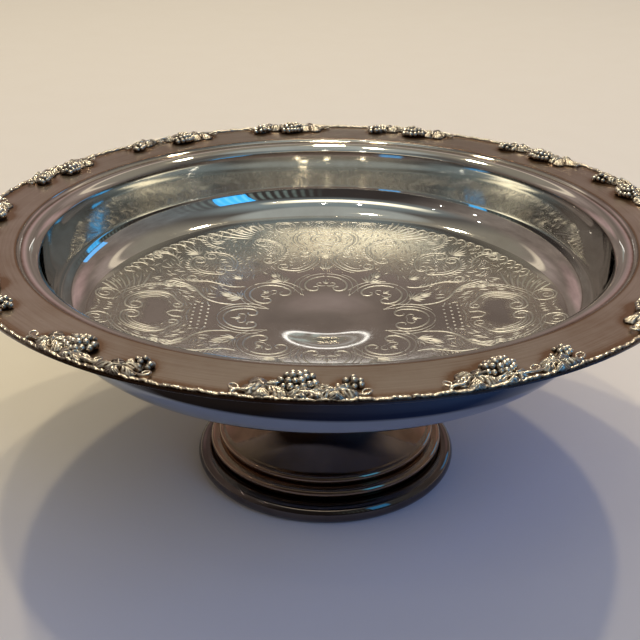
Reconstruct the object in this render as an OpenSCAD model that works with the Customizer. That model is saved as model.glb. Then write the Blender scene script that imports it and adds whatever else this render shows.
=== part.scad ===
/* [Bowl] */
// Diameter across the border rail
rim_d = 250; // [240:1:270]
// Height of the flange's flat top above the table
flange_z = 94; // [88:0.5:104]
// Depth from the flange's flat top to the middle of the floor
bowl_depth = 37.8; // [33:0.2:42]
// Thickness of the spun bowl metal
bowl_t = 1.2; // [0.8:0.1:1.6]
// Width of the flange from the rail's outer side to the groove
flange_w = 19.2; // [17.5:0.1:21]
// How far the rail stands out past the flange's edge
rail_lap = 0.4; // [0.2:0.1:0.8]
// Width of the moulded step between the flange and the wall
step_w = 7.25; // [5:0.25:9]
// Drop of the moulded step from the flange to the top of the wall
step_drop = 3.8; // [2.5:0.1:5]
// Width of the groove beside the flange
groove_w = 1.6; // [1:0.1:2.2]
// Depth of the groove below the flange
groove_drop = 1.3; // [0.8:0.1:1.8]
// Hollow of the groove below its own chord
groove_hollow = 0.3; // [0.1:0.05:0.5]
// Swell of the roll above its own chord
roll_rise = 0.9; // [0.4:0.1:1.4]
// Outward lean of the wall in degrees
wall_lean = 6; // [2:1:12]
// Radius of the curve between the wall and the floor
cavetto_r = 14.3; // [9:0.1:18]
// Spherical radius of the dished floor
dish_r = 538; // [400:2:800]
// Radius inside which the floor's middle is sunk
sink_in_r = 7; // [4:0.5:9]
// Radius at which the sunk middle has run out
sink_out_r = 21; // [16:0.5:26]
// Depth of the sunk middle
sink_depth = 0.45; // [0.1:0.05:0.6]

/* [Border] */
// Number of cast lengths round the rim, each with one repeat of the vine
sections = 13; // [11:1:14]
// Turn of the first bunch of grapes about the axis in degrees
border_turn = -97; // [-180:0.5:180]
// Solder seam between neighbouring lengths
seam = 0.12; // [0.06:0.02:0.3]
// Width of the rail
rail_w = 2.4; // [1.8:0.1:3]
// Height of the rail above the flange
rail_h = 1.4; // [0.9:0.1:2]
// Thickness of the plate under each bunch of grapes
pad_t = 1.3; // [1:0.1:1.6]
// Diameter of a grape in the large bunch
grape_d = 2.6; // [2.3:0.1:3]
// Diameter of a grape in the small bunch
small_grape_d = 2.2; // [2:0.1:2.6]
// Space between neighbouring grapes
grape_gap = 0.1; // [0.06:0.02:0.2]
// Depth that the outer grapes of a bunch are let into their plate
grape_bed = 0.6; // [0.6:0.05:0.9]
// Swell of a bunch along its middle
bunch_swell = 0.5; // [0.2:0.05:0.5]
// Reach of a vine leaf from its middle to a lobe's tip
leaf_r = 5.6; // [4.5:0.1:6.2]
// Thickness of a vine leaf at its middle
leaf_t = 2; // [1.4:0.1:2.6]
// Radius of the swell over a leaf
leaf_swell_r = 13; // [10:0.5:20]
// Way along the rim from the large bunch to the leaf before it
leaf_way = 10.6; // [9.5:0.1:12]
// Usual way along the rim from the large bunch to the small one and its leaf
small_bunch_way = 16.6; // [16:0.1:18]
// Way along the rim from the large bunch to the tendril before it
curl_way = 19.2; // [18:0.1:21]
// Outer radius of the tendril's curl
curl_r = 2.1; // [1.6:0.1:2.6]
// Width of the tendril
tendril_w = 1; // [0.7:0.1:1.2]

/* [Foot] */
// Diameter across the base ring
foot_d = 97.4; // [94:0.2:106]
// Diameter of the base ring's round section
bead_d = 7.4; // [6:0.1:8.4]
// Depth of the flat that the base ring stands on
rest_cut = 0.2; // [0.1:0.05:0.4]
// Depth that the foot's skirt is let into the base ring
skirt_let = 0.6; // [0.4:0.1:1.4]
// Gap between the skirt's lower edge and the table
skirt_lift = 1.2; // [0.6:0.1:2]
// Thickness of the spun foot metal
foot_t = 1.1; // [0.8:0.1:1.4]
// Gap between the base ring's top and the lower ridge
ridge_gap = 0.4; // [0.2:0.1:1]
// Height of the lower half-round ridge
lower_ridge_h = 3.8; // [3:0.1:4.6]
// Height of the upper half-round ridge
upper_ridge_h = 3.4; // [2.6:0.1:4]
// How far the upper ridge's middle stands out from the trumpet's lower end
upper_ridge_out = 0.7; // [0.3:0.1:1.2]
// Step in from the skirt's outside to the trumpet's lower end, above the ridges
trumpet_in = 3.7; // [2.5:0.1:6]
// Diameter of the neck at its narrowest
neck_d = 42; // [36:0.5:50]
// Drop from the bowl's underside to the narrowest part of the neck
neck_drop = 11; // [6:0.5:16]
// Width of the turned-in seat under the bowl
seat_w = 5; // [3:0.5:8]
// Leg of the solder fillet at the neck
fillet_leg = 1.8; // [1:0.1:3]
// Hollow of the solder fillet's face
fillet_hollow = 0.25; // [0.1:0.05:0.4]

/* [Hidden] */
$fn = 64;
plate = "silver";
casting = "gainsboro";
solder = "gray";

// Bowl places, each as radius and height
rim_r = rim_d/2;
flange_r = rim_r - rail_lap;
groove_r = rim_r - flange_w;
floor_z = flange_z - bowl_depth;
step_top = [groove_r, flange_z];
groove_in = [groove_r - groove_w, flange_z - groove_drop];
wall_top = [groove_r - step_w, flange_z - step_drop];
wall_up = [sin(wall_lean), cos(wall_lean)];
wall_in = [-cos(wall_lean), sin(wall_lean)];
dish_c = [0, floor_z + dish_r];
under_r = dish_r + bowl_t;
// The curve's centre lies one radius inside the wall and touches the dish from within
from_dish = wall_top + cavetto_r*wall_in - dish_c;
wall_run = from_dish*wall_up
    + sqrt(pow(from_dish*wall_up, 2) - from_dish*from_dish + pow(dish_r - cavetto_r, 2));
cavetto_c = wall_top + cavetto_r*wall_in - wall_run*wall_up;
dish_edge_a = atan2(cavetto_c[1] - dish_c[1], cavetto_c[0]);
dish_edge_r = dish_r*cos(dish_edge_a);
long_steps = 48;
curve_steps = 12;
bow_steps = 8;

// Border places
section_a = 360/sections;
seam_a = 2*asin(seam/2/rim_r);
section_end_share = 0.54;
// Shift of each vine from its even place, as a share of one repeat
vine_shift_shares = [0.09, 0.03, 0.15, 0.1, 0.04, -0.05, 0.03, 0, -0.12, -0.08, -0.1, -0.02, -0.03];
// Change of each way to the small bunch, as a share of the usual way
small_shift_shares = [-0.2, 0.2, 0, 0, 0, 0.05, 0, -0.2, 0.25, -0.1, 0, 0, 0.25];
leaf_points = 40;
lobe_share = 0.3;
lobes = 5;
large_rows = [3, 4, 3, 2];
small_rows = [2, 3, 2];
row_step_share = sin(60);
// How far in from the rail's outer side each piece starts, as shares of the flange's width
bunch_in_share = 0.2;
small_bunch_in_share = 0.42;
leaf_in_share = 0.3;
small_leaf_in_share = 0.26;
curl_in_share = 0.18;

// Foot places, each as radius and height
foot_r = foot_d/2;
bead_c = [foot_r - bead_d/2, bead_d/2 - rest_cut];
skirt_r = foot_r - bead_d + skirt_let;
skirt_z = bead_d - rest_cut + ridge_gap;
ledge_z = skirt_z + lower_ridge_h;
trumpet_z = ledge_z + upper_ridge_h;
trumpet = [skirt_r - trumpet_in, trumpet_z];
neck_r = neck_d/2;
neck_z = floor_z - bowl_t - neck_drop;
flare_r = (pow(trumpet[0] - neck_r, 2) + pow(neck_z - trumpet_z, 2))/(2*(trumpet[0] - neck_r));
flare_c = [neck_r + flare_r, neck_z];
// The flare meets the bowl's underside after two rounds of closing in
seat_z = under_z(flare_at(under_z(flare_at(under_z(neck_r)))));
seat_r = flare_at(seat_z);
ledge_r = trumpet[0] + upper_ridge_out;

// Unit vector a quarter turn to the left of the way from p to q
function left_of(p, q) = [p[1] - q[1], q[0] - p[0]]/norm(q - p);
// Arc about c from angle a to angle b
function arc(c, r, a, b, n) =
    [for (i = [0:n]) let (t = a + (b - a)*i/n) c + r*[cos(t), sin(t)]];
// Bowed line from p to q without p itself, swelling to the left by rise
function bow(p, q, rise, n) =
    [for (i = [1:n]) let (u = i/n) p + (q - p)*u + 4*u*(1 - u)*rise*left_of(p, q)];
// Point where the line through p along u meets the line through q along v
function meet(p, u, q, v) =
    p + u*((q[0] - p[0])*v[1] - (q[1] - p[1])*v[0])/(u[0]*v[1] - u[1]*v[0]);
// Share of the sunk middle's full depth at radius r
function sunk_share(r) =
    r <= sink_in_r ? 1 : r >= sink_out_r ? 0
    : (1 + cos(180*(r - sink_in_r)/(sink_out_r - sink_in_r)))/2;
// Height of the floor at radius r
function dish_z(r) = dish_c[1] - sqrt(dish_r*dish_r - r*r) - sink_depth*sunk_share(r);
// Height of the bowl's underside at radius r
function under_z(r) = dish_c[1] - sqrt(under_r*under_r - r*r);
// Radius of the flare's outside at height z
function flare_at(z) = flare_c[0] - sqrt(flare_r*flare_r - pow(z - flare_c[1], 2));
// Angle about the flare's centre at height z, for an arc of radius r
function flare_a(z, r) = 180 - asin((z - flare_c[1])/r);

// Entry of a table for a numbered length, going round the rim
function pick(table, number) = table[((number - 1 + sections) % sections) % len(table)];
// Turn of a numbered vine from the border's start
function vine_at(number) = section_a*(number - 1 + pick(vine_shift_shares, number));
// Turn of the seam after a numbered length, half way between its vine and the next
function seam_at(number) = section_a*(number - 1 + section_end_share
    + (pick(vine_shift_shares, number) + pick(vine_shift_shares, number + 1))/2);
// Way from a place on the flange out to the middle of the rail
function stem(in_share) = flange_w*in_share - rail_w/2;

// Spun bowl
module bowl_body() {
    chord = (step_top - wall_top)/norm(step_top - wall_top);
    below = -left_of(wall_top, step_top);
    inside = concat(
        [for (i = [0:long_steps]) let (r = dish_edge_r*i/long_steps) [r, dish_z(r)]],
        arc(cavetto_c, cavetto_r, dish_edge_a, -wall_lean, curve_steps),
        [wall_top],
        bow(wall_top, groove_in, roll_rise, bow_steps),
        bow(groove_in, step_top, -groove_hollow, bow_steps),
        [[flange_r, flange_z]]);
    outside = concat(
        [[flange_r, flange_z - bowl_t]],
        [meet(wall_top + bowl_t*below, chord, [0, flange_z - bowl_t], [1, 0])],
        [meet(wall_top - bowl_t*wall_in, wall_up, wall_top + bowl_t*below, chord)],
        arc(cavetto_c, cavetto_r + bowl_t, -wall_lean, dish_edge_a, curve_steps),
        arc(dish_c, under_r, dish_edge_a, -90, long_steps));
    color(plate) rotate_extrude() polygon(concat(inside, outside));
}

// Half-round strip standing on its flat side, from inner radius to outer radius
module half_round_ring(inner, outer, h, angle) {
    mid = (inner + outer)/2;
    half = (outer - inner)/2;
    rotate_extrude(angle = angle)
        polygon([for (i = [0:curve_steps]) let (t = 180*i/curve_steps) [mid + half*cos(t), h*sin(t)]]);
}

// Grapes laid in rows towards the axis, on a plate with a stem of the given length to the rail
module bunch(rows, d, stem) {
    pitch = d + grape_gap;
    step = pitch*row_step_share;
    last = len(rows) - 1;
    lift = pad_t - grape_bed + d/2;
    left = [for (i = [0:last]) [-i*step, rows[i]*pitch/2]];
    right = [for (i = [last:-1:0]) [-i*step, -rows[i]*pitch/2]];
    linear_extrude(pad_t) polygon(concat([[stem, pitch/2]], left, right, [[stem, -pitch/2]]));
    for (i = [0:last]) {
        for (j = [0:rows[i] - 1]) {
            off = j - (rows[i] - 1)/2;
            crest = bunch_swell*(1 - abs(2*off)/(rows[i] + 1));
            translate([-i*step, off*pitch, lift + crest]) sphere(d = d);
        }
    }
}

// Five-lobed vine leaf, swollen on top, its tip pointing to the axis
module vine_leaf() {
    intersection() {
        linear_extrude(leaf_t)
            polygon([for (i = [0:leaf_points - 1]) let (
                t = 360*i/leaf_points,
                reach = leaf_r*(1 - lobe_share*(1 - abs(cos(lobes*t/2)))))
                -reach*[cos(t), sin(t)]]);
        translate([0, 0, leaf_t - leaf_swell_r]) sphere(leaf_swell_r);
    }
}

// Place on the flange: a way along the rim, and a share of the flange's width in from the rail
module on_flange(way, in_share) {
    r = rim_r - flange_w*in_share;
    rotate(2*asin(way/2/r)) translate([r, 0, 0]) children();
}

// One cast length of the border, numbered from 1, from the seam before it to the seam after it
module border_section(number) {
    start = seam_at(number - 1);
    small_way = small_bunch_way*(1 + pick(small_shift_shares, number));
    color(casting) rotate(border_turn) translate([0, 0, flange_z]) {
        rotate(start + seam_a/2)
            half_round_ring(rim_r - rail_w, rim_r, rail_h, seam_at(number) - start - seam_a);
        rotate(vine_at(number)) {
            on_flange(-leaf_way, leaf_in_share) vine_leaf();
            on_flange(0, bunch_in_share) bunch(large_rows, grape_d, stem(bunch_in_share));
            on_flange(small_way, small_leaf_in_share) vine_leaf();
            on_flange(small_way, small_bunch_in_share)
                bunch(small_rows, small_grape_d, stem(small_bunch_in_share));
            on_flange(-curl_way, curl_in_share)
                half_round_ring(curl_r - tendril_w, curl_r, tendril_w, 360);
        }
    }
}

// Spun trumpet foot with two half-round ridges, a skirt and a turned-in seat
module foot_shell() {
    inner_r = flare_r + foot_t;
    seat_in_r = seat_r - seat_w;
    skirt_in = skirt_r - foot_t;
    ledge_in = ledge_z - foot_t;
    seat_in = seat_z - foot_t;
    outside = concat(
        [[skirt_r, skirt_lift]],
        arc([skirt_r, skirt_z + lower_ridge_h/2], lower_ridge_h/2, -90, 90, curve_steps),
        arc([ledge_r, ledge_z + upper_ridge_h/2], upper_ridge_h/2, -90, 90, curve_steps),
        arc(flare_c, flare_r, flare_a(trumpet_z, flare_r), flare_a(seat_z, flare_r), long_steps));
    seat = [for (i = [1:bow_steps]) let (r = seat_r - seat_w*i/bow_steps) [r, under_z(r)]];
    inside = concat(
        [[seat_in_r, under_z(seat_in_r) - foot_t]],
        arc(flare_c, inner_r, flare_a(seat_in, inner_r), flare_a(trumpet_z, inner_r), long_steps),
        [[ledge_r - foot_t, ledge_in], [skirt_in, ledge_in], [skirt_in, skirt_lift]]);
    color(plate) rotate_extrude() polygon(concat(outside, seat, inside));
}

// Half-round base ring, flat underneath and bored for the skirt
module foot_ring() {
    color(plate) difference() {
        rotate_extrude() translate(bead_c) circle(d = bead_d);
        translate([0, 0, -bead_d]) cylinder(r = foot_d, h = bead_d);
        translate([0, 0, -bead_d]) cylinder(r = skirt_r, h = 3*bead_d);
    }
}

// Ring of solder in the corner between the neck and the bowl
module solder_fillet() {
    toe = [seat_r + fillet_leg, under_z(seat_r + fillet_leg)];
    heel_z = seat_z - fillet_leg;
    heel = [flare_at(heel_z), heel_z];
    neck = arc(flare_c, flare_r, flare_a(heel_z, flare_r), flare_a(seat_z, flare_r), bow_steps);
    color(solder) rotate_extrude() polygon(concat(neck, [toe], bow(toe, heel, fillet_hollow, bow_steps)));
}

bowl_body();
for (k = [1:sections]) border_section(k);
foot_shell();
foot_ring();
solder_fillet();
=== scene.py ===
import math

import bpy
import numpy as np
from mathutils import Matrix, Vector


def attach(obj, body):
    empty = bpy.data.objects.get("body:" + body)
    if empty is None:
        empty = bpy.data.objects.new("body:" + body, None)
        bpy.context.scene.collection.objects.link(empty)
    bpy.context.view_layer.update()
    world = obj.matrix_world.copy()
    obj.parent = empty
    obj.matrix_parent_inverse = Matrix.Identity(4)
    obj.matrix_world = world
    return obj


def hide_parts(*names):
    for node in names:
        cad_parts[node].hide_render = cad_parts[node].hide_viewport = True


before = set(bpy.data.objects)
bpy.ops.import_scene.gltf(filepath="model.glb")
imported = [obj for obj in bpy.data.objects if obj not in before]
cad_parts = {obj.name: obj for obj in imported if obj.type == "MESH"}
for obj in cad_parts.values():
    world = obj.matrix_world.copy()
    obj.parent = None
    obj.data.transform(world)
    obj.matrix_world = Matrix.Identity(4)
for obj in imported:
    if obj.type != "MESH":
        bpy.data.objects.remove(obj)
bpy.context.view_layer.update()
mm = 0.001
print("frame loaded")


# grid of nu by nv points: quads between neighbours, joined round where closed, triangles at poles
def gridFaces(nu, nv, closeU, closeV, poleStart, poleEnd):
    ids = np.arange(nu*nv).reshape(nu, nv)
    if poleStart:
        ids[:, 0] = ids[0, 0]
    if poleEnd:
        ids[:, -1] = ids[0, -1]
    a, b = (ids, np.roll(ids, -1, 0)) if closeU else (ids[:-1], ids[1:])
    if closeV:
        c, d = np.roll(a, -1, 1), np.roll(b, -1, 1)
    else:
        a, b, c, d = a[:, :-1], b[:, :-1], a[:, 1:], b[:, 1:]
    quads = np.stack([a, b, d, c], -1)
    tris = np.zeros((0, 3), int)
    if poleStart:
        tris = np.concatenate([tris, quads[:, 0][:, [0, 2, 3]]])
        quads = quads[:, 1:]
    if poleEnd:
        tris = np.concatenate([tris, quads[:, -1][:, [0, 1, 2]]])
        quads = quads[:, :-1]
    return quads.reshape(-1, 4), tris


# a sheet is a grid of points in millimetres, how it closes, whether its faces turn over, and points' values
def sheet(points, closeU=False, closeV=False, poleStart=False, poleEnd=False, flip=False, **values):
    return dict(points=np.asarray(points, float), closeU=closeU, closeV=closeV,
                poleStart=poleStart, poleEnd=poleEnd, flip=flip, values=values)


# one object from many sheets, its place in its mesh, the sheets' values as point attributes
def makePiece(name, sheets, material, nodes=()):
    points, quads, tris, count = [], [], [], 0
    values = {k: [] for s in sheets for k in s["values"]}
    for s in sheets:
        nu, nv = s["points"].shape[:2]
        q, t = gridFaces(nu, nv, s["closeU"], s["closeV"], s["poleStart"], s["poleEnd"])
        if s["flip"]:
            q, t = q[:, ::-1], t[:, ::-1]
        points.append(s["points"].reshape(-1, 3))
        quads.append(q + count)
        tris.append(t + count)
        for k in values:
            values[k].append(np.broadcast_to(s["values"].get(k, 0.0), (nu, nv)).reshape(-1))
        count += nu*nv
    points, quads, tris = np.concatenate(points), np.concatenate(quads), np.concatenate(tris)
    used = np.zeros(count, bool)
    used[quads] = True
    used[tris] = True
    place = np.cumsum(used) - 1
    points, quads, tris = points[used], place[quads], place[tris]
    mesh = bpy.data.meshes.new(name)
    mesh.vertices.add(len(points))
    mesh.vertices.foreach_set("co", (points*mm).astype(np.float32).ravel())
    loops = np.concatenate([quads.ravel(), tris.ravel()]).astype(np.int32)
    mesh.loops.add(len(loops))
    mesh.loops.foreach_set("vertex_index", loops)
    starts = np.concatenate([4*np.arange(len(quads)), 4*len(quads) + 3*np.arange(len(tris))])
    mesh.polygons.add(len(starts))
    mesh.polygons.foreach_set("loop_start", starts.astype(np.int32))
    mesh.polygons.foreach_set("use_smooth", np.ones(len(starts), bool))
    for k in values:
        data = np.concatenate(values[k])[used].astype(np.float32)
        mesh.attributes.new(k, "FLOAT", "POINT").data.foreach_set("value", data)
    mesh.materials.append(material)
    mesh.update(calc_edges=True)
    mesh.validate()
    piece = bpy.data.objects.new(name, mesh)
    bpy.context.scene.collection.objects.link(piece)
    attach(piece, "root")
    if nodes:
        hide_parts(*nodes)
    print("piece", name, len(quads)*2 + len(tris), "triangles")
    return piece


# profile of radius and height turned about the axis
def revolve(profile, count):
    p = np.asarray(profile, float)
    turn = 2*np.pi*np.arange(count)/count
    return np.stack([np.cos(turn)[:, None]*p[:, 0], np.sin(turn)[:, None]*p[:, 0],
                     np.broadcast_to(p[:, 1], (count, len(p)))], -1)


# arc about c from angle a to angle b in degrees
def arc(c, r, a, b, n):
    t = np.radians(np.linspace(a, b, n + 1))
    return np.array(c) + r*np.stack([np.cos(t), np.sin(t)], 1)


# bowed line from p to q, swelling to its left by rise as a parabola
def bow(p, q, rise, n):
    p, q = np.array(p, float), np.array(q, float)
    u = np.linspace(0, 1, n + 1)[:, None]
    left = np.array([p[1] - q[1], q[0] - p[0]])/np.linalg.norm(q - p)
    return p + (q - p)*u + 4*u*(1 - u)*rise*left


# each corner of an open outline as a quadratic curve that starts and ends at most reach, or a share of its
# shorter side, from it; where the sides run on straight, by the cosine between them, the corner stays
def softened(outline, reach, steps=4, straight=-0.97, share=0.45):
    o = np.asarray(outline, float)
    out = [o[0]]
    for a, b, c in zip(o[:-2], o[1:-1], o[2:]):
        la, lc = np.linalg.norm(a - b), np.linalg.norm(c - b)
        if np.dot(a - b, c - b)/(la*lc) < straight:
            out.append(b)
            continue
        d = min(reach, share*la, share*lc)
        p, q = b + (a - b)*d/la, b + (c - b)*d/lc
        out += [(1 - t)**2*p + 2*t*(1 - t)*b + t*t*q for t in np.linspace(0, 1, steps + 1)]
    out.append(o[-1])
    return np.array(out)


bowl = dict(rimR=125.0, flangeZ=94.0, depth=37.8, sheetT=1.2, flangeW=19.2, railLap=0.4, lipW=3.0,
            stepW=7.25, stepDrop=3.8, grooveW=1.6, grooveDrop=1.3, grooveHollow=0.3, rollRise=0.9,
            wallLean=6.0, cavettoR=14.3, dishR=538.0, sinkIn=6.0, sinkOut=25.0, sinkDepth=0.75, edgeSoft=0.3,
            around=464, floorRings=56, curveRings=28, wallRings=9, rollRings=12, grooveRings=6,
            flangeRings=22, underRings=24,
            # brushed look of the flange and, weaker, of the floor within floorR
            floorR=84.0, floorMatt=0.03)


# dish is a sphere, less a sunk middle whose depth runs out along half a cosine wave
def dishZ(r):
    b = bowl
    t = np.clip((r - b["sinkIn"])/(b["sinkOut"] - b["sinkIn"]), 0, 1)
    sunk = b["sinkDepth"]*(1 + np.cos(np.pi*t))/2
    return b["flangeZ"] - b["depth"] + b["dishR"] - np.sqrt(b["dishR"]**2 - r*r) - sunk


# underside of the dish: a sphere one sheet thickness outside the dish's own
def underZ(r):
    b = bowl
    return b["flangeZ"] - b["depth"] + b["dishR"] - np.sqrt((b["dishR"] + b["sheetT"])**2 - r*r)


# spun profile from the middle of the floor over the rim to the middle below: dish, cavetto arc that touches
# the dish and the leaning wall, bowed roll and groove, flat flange, and the run back one sheet below
def bowlProfile():
    b = bowl
    t = b["sheetT"]
    lean = math.radians(b["wallLean"])
    grooveR, flangeR = b["rimR"] - b["flangeW"], b["rimR"] - b["railLap"]
    stepTop = np.array([grooveR, b["flangeZ"]])
    grooveIn = np.array([grooveR - b["grooveW"], b["flangeZ"] - b["grooveDrop"]])
    wallTop = np.array([grooveR - b["stepW"], b["flangeZ"] - b["stepDrop"]])
    up = np.array([math.sin(lean), math.cos(lean)])
    inward = np.array([-math.cos(lean), math.sin(lean)])
    dishC = np.array([0, b["flangeZ"] - b["depth"] + b["dishR"]])
    q = wallTop + b["cavettoR"]*inward - dishC
    run = q @ up + math.sqrt((q @ up)**2 - q @ q + (b["dishR"] - b["cavettoR"])**2)
    curveC = wallTop + b["cavettoR"]*inward - run*up
    edgeA = math.degrees(math.atan2(curveC[1] - dishC[1], curveC[0]))
    r = b["dishR"]*math.cos(math.radians(edgeA))*np.linspace(0, 1, b["floorRings"])
    floor = np.stack([r, dishZ(r)], 1)
    cavetto = arc(curveC, b["cavettoR"], edgeA, -b["wallLean"], b["curveRings"])[1:]
    wall = np.linspace(wallTop - up*run, wallTop, b["wallRings"])[1:]
    rim = np.concatenate([wall[-2:-1], bow(wallTop, grooveIn, b["rollRise"], b["rollRings"]),
                          bow(grooveIn, stepTop, -b["grooveHollow"], b["grooveRings"])[1:],
                          np.linspace(stepTop, [flangeR, b["flangeZ"]], b["flangeRings"])[1:],
                          [[flangeR, b["flangeZ"] - t]]])
    chord = (stepTop - wallTop)/np.linalg.norm(stepTop - wallTop)
    elbow = wallTop + t*np.array([chord[1], -chord[0]])
    underTop = elbow + chord*((b["flangeZ"] - t - elbow[1])/chord[1])
    hip = wallTop - t*inward
    s = ((elbow - hip)[0]*chord[1] - (elbow - hip)[1]*chord[0])/(up[0]*chord[1] - up[1]*chord[0])
    outside = np.concatenate([[[flangeR - b["lipW"], b["flangeZ"] - t]], [underTop], [hip + up*s],
                              arc(curveC, b["cavettoR"] + t, -b["wallLean"], edgeA, b["underRings"])])
    turnover = softened(np.concatenate([rim, outside]), b["edgeSoft"])
    under = arc(dishC, b["dishR"] + t, edgeA, -90, b["underRings"])[1:]
    return np.concatenate([floor, cavetto, wall[:-2], turnover, under])


foot = dict(footD=97.4, beadD=7.4, restCut=0.2, skirtLet=0.6, skirtLift=1.2, sheetT=1.1, ridgeGap=0.4,
            lowerH=3.8, upperH=3.4, upperOut=0.7, trumpetD=76.4, neckD=42.0, neckDrop=11.0, seatW=5.0,
            seatGap=0.02, filletLeg=1.8, filletHollow=0.25, edgeSoft=0.25,
            around=240, ridgeRings=18, flareRings=48, seatRings=6, insideRings=32, beadRings=40, flatRings=6,
            neckRings=8, filletRings=10)


# radii and heights that the foot's pieces share; the seat is where the flare meets the bowl's underside,
# found by putting each one's value into the other a few times
def footPlaces():
    f, b = foot, bowl
    p = {}
    p["beadC"] = np.array([f["footD"]/2 - f["beadD"]/2, f["beadD"]/2 - f["restCut"]])
    p["skirtR"] = f["footD"]/2 - f["beadD"] + f["skirtLet"]
    p["skirtZ"] = f["beadD"] - f["restCut"] + f["ridgeGap"]
    p["ledgeZ"] = p["skirtZ"] + f["lowerH"]
    p["ledgeR"] = f["trumpetD"]/2 + f["upperOut"]
    p["trumpetZ"] = p["ledgeZ"] + f["upperH"]
    floorZ = b["flangeZ"] - b["depth"]
    neckR, neckZ = f["neckD"]/2, floorZ - b["sheetT"] - f["neckDrop"]
    w, h = f["trumpetD"]/2 - neckR, neckZ - p["trumpetZ"]
    p["flareR"] = (w*w + h*h)/(2*w)
    p["flareC"] = np.array([neckR + p["flareR"], neckZ])
    z = floorZ
    for i in range(4):
        z = underZ(flareAt(p, z))
    p["seatZ"], p["seatR"] = z, flareAt(p, z)
    return p


# radius of the trumpet at a height: the inner side of the flare's circle
def flareAt(p, z):
    return p["flareC"][0] - np.sqrt(p["flareR"]**2 - (z - p["flareC"][1])**2)


# angle on a circle of radius r about the flare's centre at a height, on its inner side
def flareA(p, z, r):
    return 180 - math.degrees(math.asin((z - p["flareC"][1])/r))


# stretch of the flare's circle, or of one beside it, between two heights
def flareArc(p, r, z0, z1, n):
    return arc(p["flareC"], r, flareA(p, z0, r), flareA(p, z1, r), n)


# closed profile of the spun foot: skirt, two half-round ridges, flare and seat, and back one sheet within
def footProfile(p):
    f = foot
    t = f["sheetT"]
    seatIn, skirtIn = p["seatR"] - f["seatW"], p["skirtR"] - t
    outside = np.concatenate([
        [[p["skirtR"], f["skirtLift"]]],
        arc([p["skirtR"], p["skirtZ"] + f["lowerH"]/2], f["lowerH"]/2, -90, 90, f["ridgeRings"]),
        arc([p["ledgeR"], p["ledgeZ"] + f["upperH"]/2], f["upperH"]/2, -90, 90, f["ridgeRings"]),
        flareArc(p, p["flareR"], p["trumpetZ"], p["seatZ"], f["flareRings"])])
    r = np.linspace(p["seatR"], seatIn, f["seatRings"])[1:]
    seat = np.stack([r, underZ(r) - f["seatGap"]], 1)
    inside = np.concatenate([
        [[seatIn, underZ(seatIn) - t]],
        flareArc(p, p["flareR"] + t, p["seatZ"] - t, p["trumpetZ"], f["insideRings"]),
        [[p["ledgeR"] - t, p["ledgeZ"] - t], [skirtIn, p["ledgeZ"] - t], [skirtIn, f["skirtLift"]]]])
    return softened(np.concatenate([outside, seat, inside]), f["edgeSoft"])


# closed profile of the base ring: a circle cut flat where it rests and where the skirt stands in it
def ringProfile(p):
    c, r = p["beadC"], foot["beadD"]/2
    low = math.degrees(math.asin(-c[1]/r))
    cut = math.degrees(math.acos((p["skirtR"] - c[0])/r))
    return np.concatenate([arc(c, r, low, cut, foot["beadRings"]),
                           arc(c, r, -cut, 180 - low - 360, foot["flatRings"])])


# closed profile of the solder: the neck, the underside and a hollow bow between them
def filletProfile(p):
    f = foot
    toeR = p["seatR"] + f["filletLeg"]
    neck = flareArc(p, p["flareR"], p["seatZ"] - f["filletLeg"], p["seatZ"], f["neckRings"])
    slope = bow([toeR, underZ(toeR)], neck[0], f["filletHollow"], f["filletRings"])
    return np.concatenate([neck, slope[:-1]])


border = dict(sections=13, turn=-97.0, endShare=0.54, edgeIn=1.0, edgeShare=0.35,
              leafH=1.8, leafTilt=10.0, leafShake=0.5, stem=0.5, tendril=0.4,
              smallWay=16.6,  # from a vine's middle to its second bunch
              # each leaf: way along the rim, inward from the rim, spin, reach, stretch along the rim, height
              leaves=[(-7.2, 4.9, -35, 5.8, 1.1, 1.05), (3.4, 2.9, 60, 3.7, 1.65, 0.9)],
              smallLeaf=(-2.2, 3.3, 35, 4.5, 1.5, 1.15),
              # each stem: ways along the rim, inward from the rim, heights; the last ends at the second bunch
              stems=[([-15.5, -13.6, -11.5, -9.5], [1.8, 3.0, 2.8, 4.0], [0.4, 0.9, 1.1, 1.6]),
                     ([2, 6, 10], [3.6, 2.6, 2.4, 4.2], [0.9, 1.3, 0.8, 1.7])],
              stemEnd=-2.0,
              tendrilAt=([-6.5, -4.6, -3.0, -1.5], [5.2, 5.7, 6.4, 7.0], [2.0, 1.9, 1.8, 1.6]),
              # curls: way, side, inward from the rim, whether counted from the second bunch; then their form
              curls=[(-12.6, -1, 4.0, 0), (3.6, 1, 3.4, 1), (8.4, 1, 4.0, 0)],
              curlWays=[0, 1.3, 2.7, 3.4, 2.8, 1.6, 1.0, 1.5],
              curlOuts=[0, 0.8, 0.7, -0.5, -1.5, -1.5, -0.7, -0.1], curlHeights=[0.4, 0.8, 1.0, 0.8, 0.4],
              # shares of a section, and of smallWay, that vines and second bunches are off their places
              shifts=[0.09, 0.03, 0.15, 0.1, 0.04, -0.05, 0.03, 0, -0.12, -0.08, -0.1, -0.02, -0.03],
              smallShifts=[-0.2, 0.2, 0, 0, 0, 0.05, 0, -0.2, 0.25, -0.1, 0, 0, 0.25])


# turn in degrees of a vine's middle
def vineAt(k):
    b = border
    return 360/b["sections"]*(k + b["shifts"][k % b["sections"]])


# turn in degrees of the seam after a vine: a share of the way to the next, moved by the mean of their shifts
def seamAt(k):
    b, n = border, border["sections"]
    return 360/n*(k + b["endShare"] + (b["shifts"][k % n] + b["shifts"][(k + 1) % n])/2)


# way along the rim from a vine's middle to its second bunch
def smallAt(k):
    return border["smallWay"]*(1 + border["smallShifts"][k])


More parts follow.
